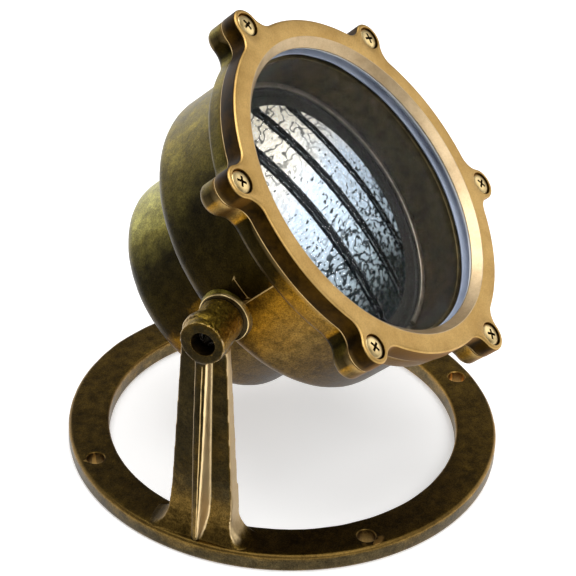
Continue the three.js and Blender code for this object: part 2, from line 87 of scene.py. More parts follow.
FACE_Z = 50.5
SEAM_Z = 41.7
FLANGE_BACK_Z = 31.8
DRUM_BACK_Z = -9.4
REAR_BACK_Z = -55.1
SEAT_Z = 40.1
WINDOW_SEAT_R = 75.0
FLOOR_T = 5.0
LEDGE_Z = 12.0
LEDGE_R = 56.0
BEZEL_R = 80.6
BEZEL_FLAT_R = 71.6
BEZEL_LIP_R = 68.2
BEZEL_LIP_Z = 46.9
LUG_CIRCLE_R = 86.0
LUG_R = 7.6
LUG_FILLET_R = 8.0
LUG_ANGLES = [-150, -90, -30, 30, 90, 150]
SCREW_TURNS = [12, 45, 20, 65, 3, 40]
FLANGE_R = 79.6
FLANGE_LUG_R = 7.4
DRUM_R = 73.0
DRUM_BORE_R = 66.5
REAR_R = 53.1
REAR_BORE_R = 48.0
SCREW_HEAD_R = 5.05
SCREW_SEAT_Z = 47.4
SCREW_HEAD_H = 2.9
SCREW_SHANK_R = 2.4
SCREW_TIP_Z = 33.4
SCREW_SINK_R = 5.5
SCREW_HOLE_R = 2.75
GASKET_R = 74.5
GASKET_LIP_R = 68.5
GASKET_LOW_LIP_R = 68.3
GLASS_R = 73.0
GLASS_LOW_Z = 41.7
GLASS_T = 3.2
BOOT_R = 66.0
BOOT_LIP_R = 53.9
SNAP_INNER_R = 63.6
SNAP_T = 1.7
LAMP_R = 55.3
LENS_R = 53.3
LENS_RIM_Z = 18.0
LENS_RISE = 8.6
LENS_BACK_R = 50.7
LENS_BACK_Z = 16.1
RIB_PITCH = 24.5
RIB_BAR_W = 7.0
RIB_RISE = 0.9
GLAND_Z = -55.4
GLAND_THREAD_R = 8.0
GLAND_BORE_R = 5.6
GLAND_NUT_R = 10.6
GLAND_ACROSS = 22.0
GLAND_HEX_T = 6.0
GLAND_NECK_H = 6.0
GLAND_WASHER_T = 1.5
SEAL_T = 3.5
GLAND_NUT_WALL = 3.5


# ---- mesh helpers ----
def rounded(profile, radii, steps=4, closed=True):
    """A profile with the corner at each point rounded by its radius (0 leaves it sharp)."""
    points = [Vector(p) for p in profile]
    made = []
    for i, corner in enumerate(points):
        radius = radii[i] if isinstance(radii, (list, tuple)) else radii
        if radius <= 0 or (not closed and i in (0, len(points) - 1)):
            made.append(tuple(corner))
            continue
        before = points[i - 1] - corner
        after = points[(i + 1) % len(points)] - corner
        half = before.angle(after) / 2
        reach = min(radius / math.tan(half), 0.49 * before.length, 0.49 * after.length)
        radius = reach * math.tan(half)
        start = corner + before.normalized() * reach
        end = corner + after.normalized() * reach
        bisector = (before.normalized() + after.normalized()).normalized()
        centre = corner + bisector * (radius / math.sin(half))
        first, last = (start - centre).normalized(), (end - centre).normalized()
        for k in range(steps + 1):
            made.append(tuple(centre + radius * first.slerp(last, k / steps)))
    return made


def loft(rows, wrap_rows=True, wrap_points=True):
    """A mesh through rows of points, quads between them."""
    bm = bmesh.new()
    grid = [[bm.verts.new(Vector(p) * MM) for p in row] for row in rows]
    row_count, point_count = len(grid), len(grid[0])
    for i in range(row_count if wrap_rows else row_count - 1):
        for j in range(point_count if wrap_points else point_count - 1):
            a, b = grid[i], grid[(i + 1) % row_count]
            k = (j + 1) % point_count
            bm.faces.new((a[j], a[k], b[k], b[j]))
    bmesh.ops.remove_doubles(bm, verts=bm.verts, dist=1e-7)
    bmesh.ops.recalc_face_normals(bm, faces=bm.faces)
    return bm


def lathe(profile, segments=96, closed=True, wobble=None):
    """A turned ring or, with an open profile from axis to axis, a turned solid."""
    rows = []
    for i in range(segments):
        turn = 2 * math.pi * i / segments
        row = profile
        if wobble:
            row = [wobble(r, z, turn) for r, z in profile]
        rows.append([(r * math.cos(turn), r * math.sin(turn), z) for r, z in row])
    return loft(rows, True, closed)


def on_circle(radius, degrees):
    turn = math.radians(degrees)
    return radius * math.cos(turn), radius * math.sin(turn)


def arc(x, y, radius, start, end, steps):
    turns = [start + (end - start) * i / steps for i in range(steps + 1)]
    return [(x + radius * math.cos(math.radians(t)), y + radius * math.sin(math.radians(t))) for t in turns]


def hexagon(across_flats):
    return arc(0, 0, across_flats / math.sqrt(3), 0, 300, 5)


def band(inner, outer, low, high):
    """The rectangular section of a plain ring, or of a disc where inner is 0."""
    return [(inner, low), (outer, low), (outer, high), (inner, high)]


def lugged_outline(ring_r, lug_r, inset=0.0):
    """The outline of a ring with six lugs, blended by concave fillets, moved in by inset."""
    ring, lug, fillet = ring_r - inset, lug_r - inset, LUG_FILLET_R + inset
    far, near = ring + fillet, lug + fillet
    reach = (far**2 + LUG_CIRCLE_R**2 - near**2) / (2 * far * LUG_CIRCLE_R)
    turn = math.acos(reach)
    spread = math.degrees(turn)
    side = math.degrees(math.atan2(far * math.sin(turn), far * reach - LUG_CIRCLE_R))
    points = []
    for angle in LUG_ANGLES:
        first, last = on_circle(far, angle - spread), on_circle(far, angle + spread)
        lug_at = on_circle(LUG_CIRCLE_R, angle)
        points += arc(*first, fillet, angle - spread + 180, angle - side + 180, 8)[:-1]
        points += arc(*lug_at, lug, angle - side, angle + side, 18)[:-1]
        points += arc(*last, fillet, angle + side + 180, angle + spread + 180, 8)[:-1]
        points += arc(0, 0, ring, angle + spread, angle + 60 - spread, 20)[:-1]
    return points


def circle_like(outline, radius):
    """Points on a circle, at the polar angles of an outline's points."""
    return [tuple(Vector(p).normalized() * radius) for p in outline]


def level(points, z):
    return [(x, y, z) for x, y in points]


def add(name, bm, matrix=None):
    mesh = bpy.data.meshes.new(name)
    bm.to_mesh(mesh)
    bm.free()
    piece = bpy.data.objects.new(name, mesh)
    bpy.context.scene.collection.objects.link(piece)
    if matrix is not None:
        piece.matrix_world = matrix
    return piece


def settle(piece):
    """Applies a piece's modifiers."""
    bpy.context.view_layer.update()
    graph = bpy.context.evaluated_depsgraph_get()
    mesh = bpy.data.meshes.new_from_object(piece.evaluated_get(graph))
    piece.modifiers.clear()
    old = piece.data
    piece.data = mesh
    bpy.data.meshes.remove(old)
    mesh.name = piece.name


def combine(piece, tools, operation="DIFFERENCE"):
    """Cuts tools from a piece, or joins them to it, and removes the tools."""
    for tool in tools:
        tool.matrix_world = piece.matrix_world.copy()
        modifier = piece.modifiers.new("combine", "BOOLEAN")
        modifier.operation = operation
        modifier.solver = "EXACT"
        modifier.object = tool
    settle(piece)
    for tool in tools:
        bpy.data.objects.remove(tool)


def remesh(piece, voxel, smoothing):
    """Makes one even casting skin, with its inside corners softened."""
    modifier = piece.modifiers.new("remesh", "REMESH")
    modifier.mode = "VOXEL"
    modifier.voxel_size = voxel * MM
    soften = piece.modifiers.new("soften", "SMOOTH")
    soften.iterations = smoothing
    soften.factor = 0.5
    settle(piece)


def roughen(piece, amount):
    """Moves each vertex along its normal by amount(point in mm), in mm."""
    mesh = piece.data
    moved = [v.co + v.normal * (amount(v.co / MM) * MM) for v in mesh.vertices]
    for vertex, place in zip(mesh.vertices, moved):
        vertex.co = place
    mesh.update()


def grain(point, size, seed=0.0):
    return noise.noise(point / size + Vector((seed, 2 * seed, -seed)))


def shade(piece, angle=32):
    mesh = piece.data
    mesh.polygons.foreach_set("use_smooth", [True] * len(mesh.polygons))
    mesh.set_sharp_from_angle(angle=math.radians(angle))


def present(piece, material, body, slot, *nodes, angle=32):
    """Gives a piece its look and its body, and hides the CAD nodes it stands for. The slot argument is not
    used.
    """
    shade(piece, angle)
    piece.data.materials.clear()
    piece.data.materials.append(material)
    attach(piece, body)
    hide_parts(*nodes)
    return piece


def recolor(piece, material, chosen):
    """Gives the faces that chosen(centre in mm, normal) picks a material of their own."""
    piece.data.materials.append(material)
    index = len(piece.data.materials) - 1
    for face in piece.data.polygons:
        if chosen(face.center / MM, face.normal):
            face.material_index = index


def cylinder(radius, low, high, segments=48, mouth=0.0):
    """A bar along Z; mouth flares its top end, which rounds the rim of the hole that it cuts."""
    profile = [(0, low), (radius, low)]
    if mouth:
        flare = [(0, 1), (0.12, 0.45), (0.45, 0.12), (1, 0)]
        profile += [(radius + out * mouth, high - down * mouth) for out, down in flare]
        profile += [(radius + mouth, high + 1), (0, high + 1)]
    else:
        profile += [(radius, high), (0, high)]
    return lathe(profile, segments, closed=False)


def repeated(bm, radius, angles):
    """Copies of a piece set round a circle, as one mesh."""
    source = bpy.data.meshes.new("source")
    bm.to_mesh(source)
    bm.free()
    made = bmesh.new()
    for angle in angles:
        known = len(made.verts)
        made.from_mesh(source)
        made.verts.ensure_lookup_table()
        x, y = on_circle(radius, angle)
        bmesh.ops.translate(made, verts=made.verts[known:], vec=(x * MM, y * MM, 0))
    bpy.data.meshes.remove(source)
    return made


def across(bm, side):
    """Turns a piece built along Z to run outwards along the hinge axis."""
    bmesh.ops.transform(bm, matrix=Matrix.Rotation(side * math.pi / 2, 4, "Y"), verts=bm.verts)
    return bm


def capped(rows):
    """A solid through a stack of closed outlines."""
    bm = loft(rows, wrap_rows=False)
    bmesh.ops.holes_fill(bm, edges=bm.edges)
    bmesh.ops.recalc_face_normals(bm, faces=bm.faces)
    return bm


def plate(outline, low, high):
    bm = bmesh.new()
    base = [bm.verts.new(Vector((x, y, low)) * MM) for x, y in outline]
    face = bm.faces.new(base)
    raised = bmesh.ops.extrude_face_region(bm, geom=[face])
    tops = [v for v in raised["geom"] if isinstance(v, bmesh.types.BMVert)]
    bmesh.ops.translate(bm, verts=tops, vec=(0, 0, (high - low) * MM))
    bmesh.ops.recalc_face_normals(bm, faces=bm.faces)
    return bm


def turned_to(bm, first, second, third):
    """Maps a piece's own X, Y and Z to three axes of the frame."""
    matrix = Matrix((first, second, third)).transposed().to_4x4()
    bmesh.ops.transform(bm, matrix=matrix, verts=bm.verts)
    bmesh.ops.recalc_face_normals(bm, faces=bm.faces)
    return bm


def dense(profile, step, closed=True):
    """Adds points along the long edges of a profile."""
    made = []
    count = len(profile) if closed else len(profile) - 1
    for i in range(count):
        a, b = Vector(profile[i]), Vector(profile[(i + 1) % len(profile)])
        parts = max(1, math.ceil((b - a).length / step))
        made += [tuple(a.lerp(b, k / parts)) for k in range(parts)]
    if not closed:
        made.append(tuple(profile[-1]))
    return made


# ---- materials ----
def srgb(red, green, blue):
    def linear(value):
        value /= 255
        return value / 12.92 if value <= 0.04045 else ((value + 0.055) / 1.055) ** 2.4

    return linear(red), linear(green), linear(blue), 1.0


class Look:
    """A Principled material with short ways to add and join nodes."""

    def __init__(self, name, **settings):
        self.material = bpy.data.materials.new(name)
        self.material.use_nodes = True
        self.tree = self.material.node_tree
        self.shader = self.tree.nodes["Principled BSDF"]
        self.where = self.tree.nodes.new("ShaderNodeTexCoord")
        for key, value in settings.items():
            self.shader.inputs[key.replace("_", " ")].default_value = value

    def link(self, source, target):
        self.tree.links.new(source, target)
        return source

    def noise(self, scale, detail=4.0, roughness=0.55, stretch=(1, 1, 1), seed=0.0):
        mapping = self.tree.nodes.new("ShaderNodeMapping")
        mapping.inputs["Scale"].default_value = stretch
        mapping.inputs["Location"].default_value = (seed, seed, seed)
        self.link(self.where.outputs["Object"], mapping.inputs["Vector"])
        made = self.tree.nodes.new("ShaderNodeTexNoise")
        made.inputs["Scale"].default_value = scale
        made.inputs["Detail"].default_value = detail
        made.inputs["Roughness"].default_value = roughness
        self.link(mapping.outputs["Vector"], made.inputs["Vector"])
        return made.outputs["Fac"]

    def ramp(self, source, *stops):
        made = self.tree.nodes.new("ShaderNodeValToRGB")
        elements = made.color_ramp.elements
        while len(elements) < len(stops):
            elements.new(0.5)
        for element, (position, color) in zip(elements, stops):
            element.position = position
            element.color = color if isinstance(color, tuple) else (color, color, color, 1)
        self.link(source, made.inputs["Fac"])
        return made.outputs["Color"]

    def mix(self, factor, first, second, blend="MIX"):
        made = self.tree.nodes.new("ShaderNodeMix")
        made.data_type = "RGBA"
        made.blend_type = blend
        for source, socket in ((factor, 0), (first, 6), (second, 7)):
            if isinstance(source, bpy.types.NodeSocket):
                self.link(source, made.inputs[socket])
            else:
                made.inputs[socket].default_value = source
        return made.outputs[2]

    def math(self, operation, *values):
        made = self.tree.nodes.new("ShaderNodeMath")
        made.operation = operation
        for i, value in enumerate(values):
            if isinstance(value, bpy.types.NodeSocket):
                self.link(value, made.inputs[i])
            else:
                made.inputs[i].default_value = value
        return made.outputs[0]

    def part(self, axis, output="Object"):
        made = self.tree.nodes.new("ShaderNodeSeparateXYZ")
        self.link(self.where.outputs[output], made.inputs[0])
        return made.outputs[axis]

    def pointiness(self):
        return self.tree.nodes.new("ShaderNodeNewGeometry").outputs["Pointiness"]

    def paint(self, color):
        self.link(color, self.shader.inputs["Base Color"])

    def gloss(self, source, low, high):
        made = self.tree.nodes.new("ShaderNodeMapRange")
        made.inputs["To Min"].default_value = low
        made.inputs["To Max"].default_value = high
        self.link(source, made.inputs["Value"])
        self.link(made.outputs["Result"], self.shader.inputs["Roughness"])

    def bump(self, source, depth, strength=1.0):
        """A bump of the given depth in millimetres."""
        made = self.tree.nodes.new("ShaderNodeBump")
        made.inputs["Strength"].default_value = strength
        made.inputs["Distance"].default_value = depth * MM
        self.link(source, made.inputs["Height"])
        self.link(made.outputs["Normal"], self.shader.inputs["Normal"])


def patina_and_facing_light(name, axis, tones, mottle_scale=190, seed=0.0):
    """Thinly patinated cast brass, with painted light and shade: its tone follows the way the surface faces
    along one axis.
    """
    look = Look(name, Metallic=1.0)
    cloud = look.noise(34, 5, 0.6, seed=seed)
    mottle = look.noise(mottle_scale, 7, 0.72, seed=seed)
    speck = look.noise(1500, 3, 0.6, seed=seed)
    # The tone keyed to facing is painted light and shade; cloud, mottle, specks and edge wear are the
    # casting's own.
    facing = look.math("MULTIPLY_ADD", look.part(axis, "Normal"), 0.5, 0.5)
    drift = look.math("MULTIPLY_ADD", cloud, 0.3, -0.15)
    tone = look.ramp(look.math("ADD", facing, drift), *tones)
    fleck = look.ramp(mottle, (0.32, 0.36), (0.5, 0.95), (0.68, 1.6))
    tone = look.mix(0.85, tone, fleck, "MULTIPLY")
    tone = look.mix(0.75, tone, look.ramp(speck, (0.36, 0.5), (0.62, 1.4)), "MULTIPLY")
    worn = look.ramp(look.pointiness(), (0.52, 0.0), (0.57, 0.7))
    look.paint(look.mix(worn, tone, srgb(196, 166, 110)))
    look.gloss(mottle, 0.27, 0.5)
    look.bump(look.math("MULTIPLY_ADD", mottle, 1.4, speck), 0.13, 0.75)
    return look


def housing_metal():
    """The housing casting, its tone painted light and shade: golden where it faces level, dark above that
    and paler on its upper side.
    """
    look = patina_and_facing_light(
        "housing_brass",
        "Y",
        [
            (0.02, srgb(64, 51, 38)),
            (0.3, srgb(114, 90, 44)),
            (0.47, srgb(132, 94, 22)),
            (0.55, srgb(32, 23, 3)),
            (0.78, srgb(38, 32, 7)),
            (0.9, srgb(98, 90, 36)),
            (0.98, srgb(166, 160, 88)),
        ],
    )
    tone = look.shader.inputs["Base Color"].links[0].from_socket
    # Painted shade: the main drum's upper side is darkened and browned, the rear drum's is not.
    upward = look.ramp(look.part("Y", "Normal"), (0.5, 0.0), (0.9, 1.0))
    drum = look.ramp(look.math("MULTIPLY_ADD", look.part("Z"), 20, 0.5), (0.3, 0.0), (0.36, 1.0))
    golden = look.mix(1.0, tone, srgb(190, 176, 140), "MULTIPLY")
    tone = look.mix(look.math("MULTIPLY", upward, drum), tone, golden)
    # Painted bounce light: the flange's downward-facing side is painted golden.
    painted_bounce_beneath = look.ramp(look.math("MULTIPLY", look.part("Y", "Normal"), -1), (0.5, 0.0), (0.9, 0.9))
    flange = look.ramp(look.math("MULTIPLY", look.part("Z"), 20), (0.61, 0.0), (0.65, 1.0))
    look.paint(look.mix(look.math("MULTIPLY", painted_bounce_beneath, flange), tone, srgb(146, 108, 46)))
    return look.material


def base_metal():
    """The base casting, its tone painted light and shade: dark on its upper and outward faces, brighter
    where it faces sideways.
    """
    look = patina_and_facing_light(
        "base_brass",
        "Z",
        [
            (0.1, srgb(140, 126, 100)),
            (0.5, srgb(80, 74, 58)),
            (0.62, srgb(130, 110, 66)),
            (0.95, srgb(74, 62, 29)),
        ],
        seed=3.0,
    )
    tone = look.shader.inputs["Base Color"].links[0].from_socket
    # Painted light: the casting grows lighter towards +X.
    from_left = look.math("MULTIPLY_ADD", look.part("X"), 5, 0.5)
    painted_light_to_right = look.ramp(from_left, (0.1, (0.8, 0.7, 0.5, 1)), (0.9, (2.1, 1.8, 1.3, 1)))
    tone = look.mix(1.0, tone, painted_light_to_right, "MULTIPLY")
    # Painted shade: the arms' outward-facing faces are darkened from a little above the ring upwards.
    outward = look.ramp(look.math("ABSOLUTE", look.part("X", "Normal")), (0.7, 0.0), (0.97, 0.92))
    forward = look.ramp(look.math("ABSOLUTE", look.part("Y", "Normal")), (0.5, 0.0), (0.8, 1.0))
    height = look.math("MULTIPLY", look.part("Z"), 10)
    up_arm = look.ramp(height, (0.12, 0.0), (0.42, 1.0))
    darker = look.mix(1.0, tone, srgb(132, 128, 92), "MULTIPLY")
    tone = look.mix(look.math("MULTIPLY", outward, up_arm), tone, darker)
    above_ring = look.ramp(height, (0.09, 0.0), (0.13, 1.0))
    # Painted highlight: faces turned forward or back, above the ring, are painted pale.
    tone = look.mix(look.math("MULTIPLY", forward, above_ring), tone, srgb(198, 172, 128))
    # Painted highlight: a bright stripe down the rib's forward-leaning side, between ring and boss.
    outward_place = look.math("ABSOLUTE", look.math("MULTIPLY", look.part("X"), 10))
    on_rib = look.ramp(outward_place, (0.917, 0.0), (0.93, 1.0))
    leaning = look.ramp(look.math("MULTIPLY", look.part("Y", "Normal"), -1), (0.36, 0.0), (0.62, 1.0))
    under_boss = look.ramp(look.math("MULTIPLY", look.part("Z"), 5), (0.49, 1.0), (0.52, 0.0))
    rib_side = look.math("MULTIPLY", on_rib, leaning)
    rib_span = look.math("MULTIPLY", under_boss, above_ring)
    look.paint(look.mix(look.math("MULTIPLY", rib_side, rib_span), tone, srgb(255, 226, 172)))
    return look.material


def bezel_metal():
    """A machined front face, with darker sides whose downward-facing parts carry a painted golden bounce
    light.
    """
    look = Look("bezel_brass", Metallic=1.0)
    cloud = look.noise(60, 6, 0.65)
    fine = look.noise(1500, 4, 0.6)
    face = look.ramp(cloud, (0.3, srgb(184, 146, 80)), (0.62, srgb(212, 175, 108)))
    flank = look.ramp(look.noise(120, 6, 0.7), (0.36, srgb(26, 16, 1)), (0.66, srgb(64, 43, 6)))
    # Painted bounce light: the sides' downward-facing parts are painted golden.
    painted_bounce_beneath = look.ramp(look.math("MULTIPLY", look.part("Y", "Normal"), -1), (0.5, 0.0), (0.9, 0.9))
    flank = look.mix(painted_bounce_beneath, flank, srgb(146, 102, 34))
    forward = look.ramp(look.part("Z", "Normal"), (0.35, 0.0), (0.6, 1.0))
    worn = look.ramp(look.pointiness(), (0.53, 0.0), (0.6, 1.0))
    tone = look.mix(look.math("MAXIMUM", forward, worn), flank, face)
    look.paint(look.mix(0.35, tone, look.ramp(fine, (0.35, 0.6), (0.6, 1.05)), "MULTIPLY"))
    look.gloss(cloud, 0.42, 0.56)
    look.bump(fine, 0.05, 0.6)
    return look.material


def machined_brass(name, color, shade_color, roughness):
    """Plain satin brass with faint clouding and fine grain."""
    look = Look(name, Metallic=1.0)
    cloud = look.noise(70, 6, 0.65)
    fine = look.noise(1500, 4, 0.6)
    tone = look.ramp(cloud, (0.3, shade_color), (0.62, color))
    look.paint(look.mix(0.3, tone, look.ramp(fine, (0.35, 0.6), (0.6, 1.0)), "MULTIPLY"))
    look.gloss(cloud, roughness - 0.06, roughness + 0.08)
    look.bump(fine, 0.05, 0.6)
    return look.material


def plain_metal(name, color, dull, roughness):
    look = Look(name, Metallic=1.0)
    smear = look.noise(180, 5, 0.6)
    look.paint(look.ramp(smear, (0.3, dull), (0.65, color)))
    look.gloss(smear, roughness - 0.07, roughness + 0.08)
    look.bump(look.noise(2200, 3), 0.02, 0.5)
    return look.material


def rubber(name, color, light):
    look = Look(name, Roughness=0.7, Specular_IOR_Level=0.25)
    dust = look.noise(140, 6, 0.7)
    look.paint(look.ramp(dust, (0.4, color), (0.8, light)))
    look.bump(look.noise(900, 4), 0.06, 0.6)
    return look.material


def silicone():
    look = Look("silicone", Roughness=0.3, Subsurface_Weight=0.25, Subsurface_Scale=0.004)
    look.shader.inputs["Subsurface Radius"].default_value = (0.8, 0.9, 1.0)
    # Painted shade and highlight: blue-grey low in the groove, rising to near white at the lip.
    rise = look.math("MULTIPLY_ADD", look.part("Z"), 1000 / 8, -SEAT_Z / 8)
    rise = look.math("ADD", rise, look.math("MULTIPLY_ADD", look.noise(60, 4, 0.5), 0.24, -0.12))
    stops = [(0.0, srgb(74, 84, 110)), (0.2, srgb(176, 186, 206))]
    stops += [(0.4, srgb(240, 243, 248)), (0.8, srgb(250, 250, 250))]
    look.paint(look.ramp(rise, *stops))
    look.bump(look.noise(420, 3), 0.1, 0.5)
    return look.material


def clear_glass():
    look = Look("window_glass", Roughness=0.02, IOR=1.3, Transmission_Weight=1.0, Alpha=0.01)
    film = look.noise(45, 5, 0.6)
    look.paint(look.ramp(film, (0.4, (0.93, 0.96, 0.98, 1)), (0.7, (1, 1, 1, 1))))
    return look.material


def pressed_lens():
    """Silvered pressed glass whose colour is painted reflection and shade: bright figured bands, cooler and
    darker downwards, between dark ribs.
    """
    look = Look("lamp_lens_glass", Metallic=0.25, Specular_IOR_Level=0.03)
    height = look.math("MULTIPLY_ADD", look.part("Y"), 10, 0.5)
    drift = look.math("MULTIPLY_ADD", look.noise(60, 3), 0.3, -0.15)
    level_up = look.math("ADD", height, drift)
    # Painted reflection: bright bands towards the top, cooler and darker towards the bottom as painted
    # shade.
    tone = look.ramp(
        level_up,
        (0.04, srgb(38, 46, 48)),
        (0.2, srgb(138, 154, 162)),
        (0.4, srgb(196, 214, 230)),
        (0.6, srgb(216, 232, 248)),
        (0.78, srgb(255, 252, 242)),
        (1.0, srgb(250, 244, 226)),
    )
    figure = look.noise(190, 1.5, 0.35, stretch=(0.6, 1, 1))
    swirl = look.math("PINGPONG", look.math("MULTIPLY", figure, 8), 1.0)
    contour = look.ramp(swirl, (0.14, 1.0), (0.34, 0.0))
    busy = look.ramp(height, (0.1, 1.0), (0.36, 0.95), (0.46, 0.2), (0.66, 0.1), (0.82, 0.85))
    tone = look.mix(look.math("MULTIPLY", contour, busy), tone, srgb(26, 34, 36))
    stroke = look.math("MULTIPLY_ADD", level_up, -0.3, look.noise(620, 2, 0.5, stretch=(0.4, 1, 1)))
    stroke = look.ramp(look.math("ADD", stroke, 0.045), (0.5, 0.0), (0.53, 0.95))
    tone = look.mix(stroke, tone, srgb(22, 28, 30))
    steps = look.ramp(look.noise(900, 1, 0.5, stretch=(0.3, 1, 1)), (0.45, 0.72), (0.55, 1.1))
    tone = look.mix(0.5, tone, steps, "MULTIPLY")
    across_ribs = look.math("PINGPONG", look.part("X"), 0.5 * RIB_PITCH * MM)
    place = look.math("DIVIDE", across_ribs, 0.5 * RIB_PITCH * MM)
    edge = 1 - RIB_BAR_W / RIB_PITCH
    wander = look.math("MULTIPLY_ADD", look.noise(260, 3), 0.07, -0.035)
    place = look.math("ADD", place, wander)
    bars = look.ramp(place, (edge - 0.02, 0.0), (edge, 1.0))
    # Painted glints: light dashes along the rib edges.
    lines = look.ramp(place, (edge + 0.08, 0.0), (edge + 0.1, 1.0), (edge + 0.13, 1.0), (edge + 0.15, 0.0))
    gleam = look.ramp(look.noise(500, 2), (0.45, 0.0), (0.55, 1.0))
    line = look.mix(gleam, srgb(8, 9, 10), srgb(96, 104, 108))
    tone = look.mix(bars, tone, look.mix(lines, (0.003, 0.004, 0.005, 1), line))
    look.paint(tone)
    # Painted glow: the lens's painted colour is also emitted, though the lamp is not lit.
    look.link(tone, look.shader.inputs["Emission Color"])
    look.shader.inputs["Emission Strength"].default_value = 0.22
    look.gloss(swirl, 0.1, 0.3)
    look.bump(look.noise(700, 4, 0.6), 0.05, 0.5)
    return look.material


HOUSING_BRASS = housing_metal()
BASE_BRASS = base_metal()
# The boss's tone follows how its surface faces up or down: painted light and shade.
BOSS_BRASS = patina_and_facing_light(
    "boss_brass",
    "Z",
    [(0.3, srgb(118, 98, 58)), (0.6, srgb(168, 132, 58)), (0.95, srgb(130, 107, 38))],
    mottle_scale=700,
    seed=5.0,
).material
BEZEL_BRASS = bezel_metal()
SCREW_BRASS = plain_metal("screw_brass", srgb(242, 216, 158), srgb(204, 176, 118), 0.34)
# Dark bronze: the housing's own inner wall colour, and painted shade on the pivot washers' faces.
INNER_BRONZE_AND_SHADE = plain_metal("inner_bronze_and_shade", srgb(92, 80, 54), srgb(54, 46, 28), 0.5)
# A bright brass used as painted highlight: on the arms' mould line and on the seam edges of bezel and
# housing.
EDGE_HIGHLIGHT = plain_metal("painted_edge_highlight", srgb(214, 184, 128), srgb(160, 132, 82), 0.35)
# Painted shadow for the insides of holes and recesses.
RECESS_SHADOW = plain_metal("recess_shadow", srgb(58, 44, 22), srgb(20, 15, 8), 0.6)
BEVEL_BRASS = machined_brass("bevel_brass", srgb(212, 188, 150), srgb(184, 158, 120), 0.45)
GLAND_BRASS = machined_brass("gland_brass", srgb(190, 152, 90), srgb(140, 112, 62), 0.4)
STEEL = plain_metal("lock_steel", srgb(150, 146, 138), srgb(66, 62, 56), 0.26)
SNAP_STEEL = plain_metal("snap_steel", srgb(150, 140, 122), srgb(104, 96, 82), 0.4)
SILICONE = silicone()
RUBBER = rubber("black_rubber", (0.009, 0.009, 0.007, 1), (0.022, 0.021, 0.016, 1))
WINDOW = clear_glass()
LENS = pressed_lens()
SILVER = plain_metal("reflector_silver", srgb(225, 226, 224), srgb(190, 192, 190), 0.14)


# ---- camera ----
def make_camera():
    azimuth, elevation, roll = math.radians(-69.588), math.radians(32.527), math.radians(2.609)
    distance, lens = 838.8, 113.55
    right = Vector((math.cos(azimuth), math.sin(azimuth), 0))
    flat = math.cos(elevation)
    back = Vector((math.sin(azimuth) * flat, -math.cos(azimuth) * flat, math.sin(elevation)))
    up = back.cross(right)
    target = Vector((0, 0, 0.6 * BASE_R)) - 0.0033 * BASE_R * right + 0.1651 * BASE_R * up
    turned_right = right * math.cos(roll) + up * math.sin(roll)
    turned_up = up * math.cos(roll) - right * math.sin(roll)
    camera = bpy.data.objects.new("camera", bpy.data.cameras.new("camera"))
    camera.data.lens = lens
    camera.data.sensor_width = 36
    camera.data.clip_start, camera.data.clip_end = 0.05, 20
    axes = Matrix((turned_right, turned_up, back)).transposed().to_4x4()
    camera.matrix_world = Matrix.Translation((target + back * distance) * MM) @ axes
    bpy.context.scene.collection.objects.link(camera)
    bpy.context.scene.camera = camera


# ---- base ----
def cut_base_ring():
    section = rounded(band(BASE_BORE_R, BASE_R, 0, BASE_T), [0.8, 1.4, 1.8, 1.3])
    ring = add("base_ring_cast", lathe(dense(section, 2.5), 240))
    roughen(ring, lambda p: 0.12 * grain(p, 9) + 0.05 * grain(p, 2.5) if p.z > 1 else 0)
    hole = cylinder(ANCHOR_HOLE_R, -2, BASE_T + 0.05, 40, 0.8)
    combine(ring, [add("holes", repeated(hole, ANCHOR_CIRCLE_R, [45, 135, 225, 315]))])
    present(ring, BASE_BRASS, "base", "cast_brass", "base_ring")


def arm_plate_outline():
    crown = arc(0, PIVOT_Z, ARM_HALF_TOP, 12, 168, 16)
    return [(ARM_HALF_FOOT, BASE_T - 0.5), *crown, (-ARM_HALF_FOOT, BASE_T - 0.5)]


def rib_rows():
    """Cross sections of the arm's outward rib, whose draft and root fillets grow towards the foot."""
    rows = []
    for i in range(25):
        part = i / 24
        height = BASE_T - 0.5 + (PIVOT_Z - BASE_T + 0.5) * part
        outer = RIB_FOOT_X + (RIB_TOP_X - RIB_FOOT_X) * part
        half = 1.4 + 1.5 * (1 - (1 - part) ** 2.5)
        spread = 0.2 + 4.4 * (1 - part) ** 2.3
        draft, fillet = 0.45 * spread, 0.55 * spread
        corner = arc(outer - 0.9, half - 0.9, 0.9, 0, 75, 4)
        web = arc(ARM_OUTER_X + fillet, half + draft + fillet, fillet, 270, 180, 5)
        side = [*corner, *web, (ARM_OUTER_X - 2, half + draft + fillet)]
        other = [(x, -y) for x, y in reversed(side)]
        rows.append(level([(x, y + RIB_Y) for x, y in side + other], height))
    return rows


def bead_rows():
    """Cross sections of the fine raised mould line that runs up the rib's outer face."""
    rows = []
    for i in range(33):
        part = 0.04 + 0.92 * i / 32
        height = BASE_T + (PIVOT_Z - BASE_T) * part - 2
        outer = RIB_FOOT_X + (RIB_TOP_X - RIB_FOOT_X) * part
        y = RIB_Y - 0.7 + 0.25 * noise.noise(Vector((0, 0, height / 9)))
        tall = 0.32 + 0.2 * noise.noise(Vector((3, 0, height / 3)))
        ring = [(0.3 * math.cos(t), math.sin(t)) for t in (0.0, 0.8, 1.6, 2.4, 3.2, 4.7)]
        rows.append(level([(outer - 0.12 + tall * v, y + u) for u, v in ring], height))
    return rows


